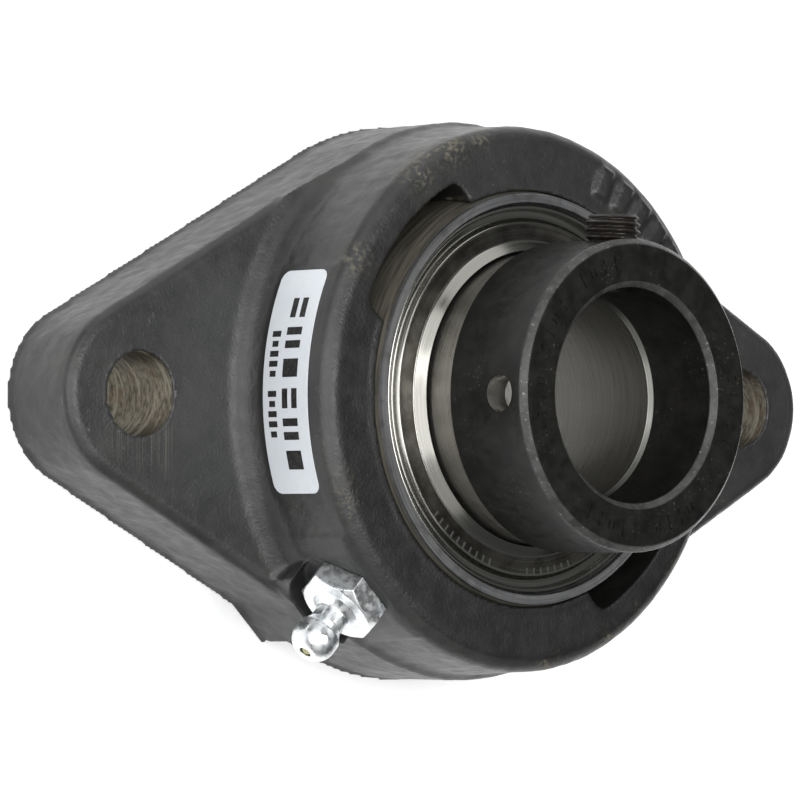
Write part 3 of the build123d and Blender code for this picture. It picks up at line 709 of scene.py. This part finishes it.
def stamped_collar():
    """The collar with softened edges, its holes and recess, and short stamped marks."""
    low, high, c = COLLAR_LOW.z, COLLAR_HIGH.z, 0.8 * MM
    corners = [
        (COLLAR_BORE_R, low + 2 * c), (COLLAR_BORE_R, high - c), (COLLAR_BORE_R + c, high),
        (COLLAR_R - c, high), (COLLAR_R, high - c), (COLLAR_R, low + c), (COLLAR_R - c, low),
        (COLLAR_BORE_R + 2 * c, low),
    ]
    blank = bmesh.new()
    add_lathe(blank, rounded_outline([(*corner, 0.16 * MM) for corner in corners]), 240)

    cutter = bmesh.new()
    recess = Matrix.Translation((CAM_OFFSET, 0, CAM_RECESS_TOP)) @ Matrix.Rotation(pi, 4, "X")
    add_drill(cutter, recess, CAM_RECESS_R, CAM_RECESS_TOP - low + MM)
    across = Matrix.Translation((-COLLAR_R - MM, 0, COLLAR_HOLE_Z)) @ Matrix.Rotation(pi / 2, 4, "Y")
    add_drill(cutter, across, DRIFT_R, DRIFT_DEPTH + MM, DRIFT_R / tan(radians(59)))
    down = Matrix.Translation((0, COLLAR_R + MM, COLLAR_HOLE_Z)) @ Matrix.Rotation(pi / 2, 4, "X")
    add_drill(cutter, down, SCREW_HOLE_R, COLLAR_R - COLLAR_BORE_R + 3 * MM)
    angles = [first + MARK_STEP * k for first, count in MARK_GROUPS for k in range(count)]
    for index, angle in enumerate(angles):
        turn = Matrix.Rotation(radians(angle), 4, "Z")
        for x, y, length, width in STAMPED_SHAPES[index % len(STAMPED_SHAPES)]:
            place = turn @ Matrix.Translation((MARK_R + x * MM, y * MM, high))
            add_box(cutter, (length * MM, width * MM, 2 * MARK_DEPTH), place)
    tool = bpy.data.objects.new("tool", mesh_from(cutter, "tool"))
    bpy.context.scene.collection.objects.link(tool)
    base = mesh_from(blank, "locking_collar_stamped")
    mesh = modified(base, "BOOLEAN", operation="DIFFERENCE", solver="EXACT", use_self=True, object=tool)
    bpy.data.objects.remove(tool)
    mesh.shade_smooth()
    mesh.set_sharp_from_angle(angle=radians(28))
    piece = add_piece("locking_collar_stamped", mesh, "locking_collar", black_oxide())
    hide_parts("locking_collar")


def pressed_shields():
    """The two pressed shields with real bend radii along their folds."""
    for node, base, side in (
        ("front_seal_outer_shield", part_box("front_seal_outer_shield")[0].z, 1),
        ("rear_seal_outer_shield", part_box("rear_seal_outer_shield")[1].z, -1),
    ):
        build = bmesh.new()
        corners = [(r * MM, base + side * z * MM, bend * MM) for r, z, bend in SHIELD_SECTION]
        add_lathe(build, rounded_outline(corners), 240)
        mesh = mesh_from(build, node + "_pressed")
        mesh.shade_smooth()
        mesh.set_sharp_from_angle(angle=radians(50))
        piece = add_piece(node + "_pressed", mesh, "outer_ring", shield_steel())
        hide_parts(node)


def ringed_mesh(name, rings):
    """Closed mesh through rings of points of equal count, both ends drawn to their centres."""
    build = bmesh.new()
    made = [[build.verts.new(p) for p in ring] for ring in rings]
    count = len(rings[0])
    for a, b in zip(made, made[1:]):
        for k in range(count):
            build.faces.new((a[k], a[(k + 1) % count], b[(k + 1) % count], b[k]))
    for ring, points in ((made[0], rings[0]), (made[-1], rings[-1])):
        centre = build.verts.new(sum((Vector(p) for p in points), Vector()) / count)
        for k in range(count):
            build.faces.new((ring[k], ring[(k + 1) % count], centre))
    return mesh_from(build, name)


def threaded_set_screw():
    """Set screw with a real thread, chamfered ends, cup point and hexagon socket."""
    length = SCREW_HIGH.y - SCREW_LOW.y
    count = 72

    def ring(radius_at, depth):
        """Points round the screw's axis, at a distance along it from the tip."""
        row = []
        for k in range(count):
            turn = 2 * pi * k / count
            r = radius_at(turn)
            row.append((r * cos(turn), SCREW_LOW.y + depth, COLLAR_HOLE_Z + r * sin(turn)))
        return row

    def thread(depth):
        """Radius of the thread round the screw at this distance from the tip."""
        def radius(turn):
            wave = abs(((depth / THREAD_PITCH - turn / (2 * pi)) % 1) * 2 - 1)
            cut = THREAD_DEPTH * min(1.0, max(0.0, wave * 1.3 - 0.12))
            end = min(depth, length - depth)
            return min(SCREW_R - cut, SCREW_R - 0.7 * MM + end)
        return radius

    def hexagon(turn):
        """Radius of the socket's hexagon."""
        return SOCKET_AF / 2 / cos((turn + pi / 6) % (pi / 3) - pi / 6)

    steps = int(length / (THREAD_PITCH / 10))
    rings = [ring(lambda turn: 0.3 * MM, 1.6 * MM), ring(lambda turn: 2 * MM, 0)]
    rings += [ring(thread(length * k / steps), length * k / steps) for k in range(steps + 1)]
    rings += [ring(lambda turn: hexagon(turn) + 0.25 * MM, length)]
    rings += [ring(hexagon, length - 0.25 * MM), ring(hexagon, length - 4 * MM)]
    rings += [ring(lambda turn: 0.3 * MM, length - 4.6 * MM)]
    mesh = ringed_mesh("set_screw_threaded", rings)
    mesh.shade_smooth()
    mesh.set_sharp_from_angle(angle=radians(35))
    piece = add_piece("set_screw_threaded", mesh, "set_screw", screw_steel())
    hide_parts("set_screw")


def softened_fitting():
    """The grease nipple with its edges broken."""
    mesh = modified(mesh_from(welded_copy("grease_fitting_body"), "grease_fitting_plated"),
                    "REMESH", mode="VOXEL", voxel_size=0.11 * MM)
    co, normals = points_of(mesh), normals_of(mesh)
    co -= normals * (0.035 * lumps(co, 1.1 * MM, 6) * MM)[:, None]
    move_points(mesh, np.clip(co, np.array(FITTING_LOW), np.array(FITTING_HIGH)))
    mesh.shade_smooth()
    piece = add_piece("grease_fitting_plated", mesh, "housing", zinc_plate())
    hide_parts("grease_fitting_body")


def coil_spring():
    """The check ball's spring."""
    wire = plain_finish("spring_wire", (0.35, 0.35, 0.35), (0.5, 0.5, 0.5), 0.35, 1.0)
    mesh = frame["nodes"]["grease_fitting_spring"].data.copy()
    piece = add_piece("grease_fitting_coil", mesh, "housing", wire)
    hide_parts("grease_fitting_spring")
    joints = {joint["name"]: joint for joint in frame["record"]["behaviour"]["joints"]}
    travel = joints["grease_fitting_ball_travel"]
    inward = Vector(travel["axis"]).normalized()
    along = points_of(mesh) @ np.array(inward)
    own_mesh(piece)


def polished_balls():
    """The nine balls, a hair smaller than their groove's facets."""
    steel = plain_finish("ball_steel", (0.62, 0.62, 0.62), (0.74, 0.74, 0.73), 0.14, 1.0, 4)
    for index in range(BALLS):
        node = f"ball_{index + 1}"
        mesh = frame["nodes"][node].data.copy()
        middle = np.array((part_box(node)[0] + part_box(node)[1]) / 2)
        move_points(mesh, middle + (points_of(mesh) - middle) * BALL_SHARE)
        piece = add_piece(node + "_polished", mesh, node, steel)
        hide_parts(node)


def shield_print():
    """Small dark marks on the flat band of the front shield."""
    build = bmesh.new()
    for first, last in SHIELD_MARKS:
        angle = first
        while angle <= last:
            place = Matrix.Translation(polar(radians(angle), SHIELD_MARK_R, SHIELD_BAND_Z))
            add_box(build, SHIELD_MARK_SIZE, place @ Matrix.Rotation(radians(angle), 4, "Z"))
            angle += SHIELD_MARK_STEP
    ink = plain_finish("shield_ink", (0.03, 0.03, 0.03), (0.07, 0.07, 0.065), 0.5, 0.0)
    mesh = mesh_from(build, "front_shield_print")
    add_piece("front_shield_print", mesh, "outer_ring", ink)


def coat(nodes, material):
    """Gives CAD nodes a material."""
    for node in nodes:
        slots = frame["nodes"][node].data.materials
        slots.clear()
        slots.append(material)


def finish_cad_nodes():
    """Materials of the CAD nodes that show their own shape."""
    coat(["label"], label_film())
    coat(["outer_ring"], outer_ring_steel())
    coat(["inner_ring"], inner_ring_steel())
    coat(["front_seal_inner_plate", "rear_seal_inner_plate"], shield_steel())
    rubber = plain_finish("seal_rubber", (0.012, 0.012, 0.012), (0.03, 0.03, 0.03), 0.6, 0.0)
    coat(["front_seal_washer", "rear_seal_washer"], rubber)
    brass = plain_finish("check_ball", (0.28, 0.26, 0.12), (0.45, 0.43, 0.25), 0.3, 1.0, 0.8)
    coat(["grease_fitting_ball"], brass)
    nylon = plain_finish("cage_nylon", (0.62, 0.57, 0.45), (0.74, 0.70, 0.58), 0.5, 0.0, 5)
    coat(["ball_cage"], nylon)


# ---------------------------------------------------------------- stage


def floor_sheet():
    """Plain pale floor that glows a little, so shadows on it stay faint."""
    build = bmesh.new()
    bmesh.ops.create_grid(build, x_segments=1, y_segments=1, size=6)
    piece = bpy.data.objects.new("floor", mesh_from(build, "floor"))
    bpy.context.scene.collection.objects.link(piece)
    piece.location.z = CAD_BOX[0].z - 0.1 * MM
    f = Finish("floor", Base_Color=(0.86, 0.86, 0.86, 1), Roughness=0.9, Specular_IOR_Level=0.0)
    f.shader.inputs["Emission Color"].default_value = (1, 1, 1, 1)
    f.shader.inputs["Emission Strength"].default_value = 0.28
    piece.data.materials.append(f.material)


def softbox(name, azimuth, elevation, distance, size, power, colour=(1, 1, 1)):
    """Square soft light aimed at the object. Azimuth 0 is on the -Y side, 90 on the +X side."""
    a, e = radians(azimuth), radians(elevation)
    target = Vector((0, 0, BALL_CENTRE.z))
    toward = Vector((sin(a) * cos(e), -cos(a) * cos(e), sin(e)))
    data = bpy.data.lights.new(name, "AREA")
    data.size, data.energy, data.color = size, power, colour
    light = bpy.data.objects.new(name, data)
    bpy.context.scene.collection.objects.link(light)
    light.location = target + toward * distance
    light.rotation_mode = "QUATERNION"
    light.rotation_quaternion = toward.to_track_quat("Z", "Y")


def lights():
    """Dim room light, a very large soft light near the camera and others above and beside."""
    world = bpy.data.worlds.new("studio")
    world.use_nodes = True
    world.node_tree.nodes["Background"].inputs[0].default_value = (0.97, 0.99, 1.0, 1)
    world.node_tree.nodes["Background"].inputs[1].default_value = 0.12
    bpy.context.scene.world = world
    softbox("key", -86, 45, 1.1, 1.05, 9.8)
    softbox("side", -134, 44, 1.3, 0.8, 4)
    softbox("over", 90, 86, 1.6, 0.8, 14)
    softbox("right", -25, 42, 1.5, 0.9, 2.0)
    softbox("top", 172, 24, 1.5, 1.1, 5)


def camera():
    """Long lens, 42 degrees off the shaft axis on the left ear's side, +Y up in the picture."""
    turn = (
        Matrix.Rotation(radians(CAMERA_ROLL), 3, "Z")
        @ Matrix.Rotation(radians(CAMERA_TILT), 3, "X")
        @ Matrix.Rotation(radians(CAMERA_SWING), 3, "Y")
    )
    data = bpy.data.cameras.new("camera")
    data.lens, data.sensor_width, data.clip_end = CAMERA_LENS, CAMERA_SENSOR, 20
    shot = bpy.data.objects.new("camera", data)
    bpy.context.scene.collection.objects.link(shot)
    place = turn.transposed() @ (Vector(CAMERA_PLACE) * MM)
    shot.matrix_world = Matrix.Translation(place) @ turn.transposed().to_4x4()
    bpy.context.scene.camera = shot


camera()
lights()
floor_sheet()
finish_cad_nodes()
housing_casting()
label_print()
stamped_collar()
pressed_shields()
threaded_set_screw()
softened_fitting()
coil_spring()
polished_balls()
shield_print()
bpy.context.scene.view_settings.view_transform = "Standard"
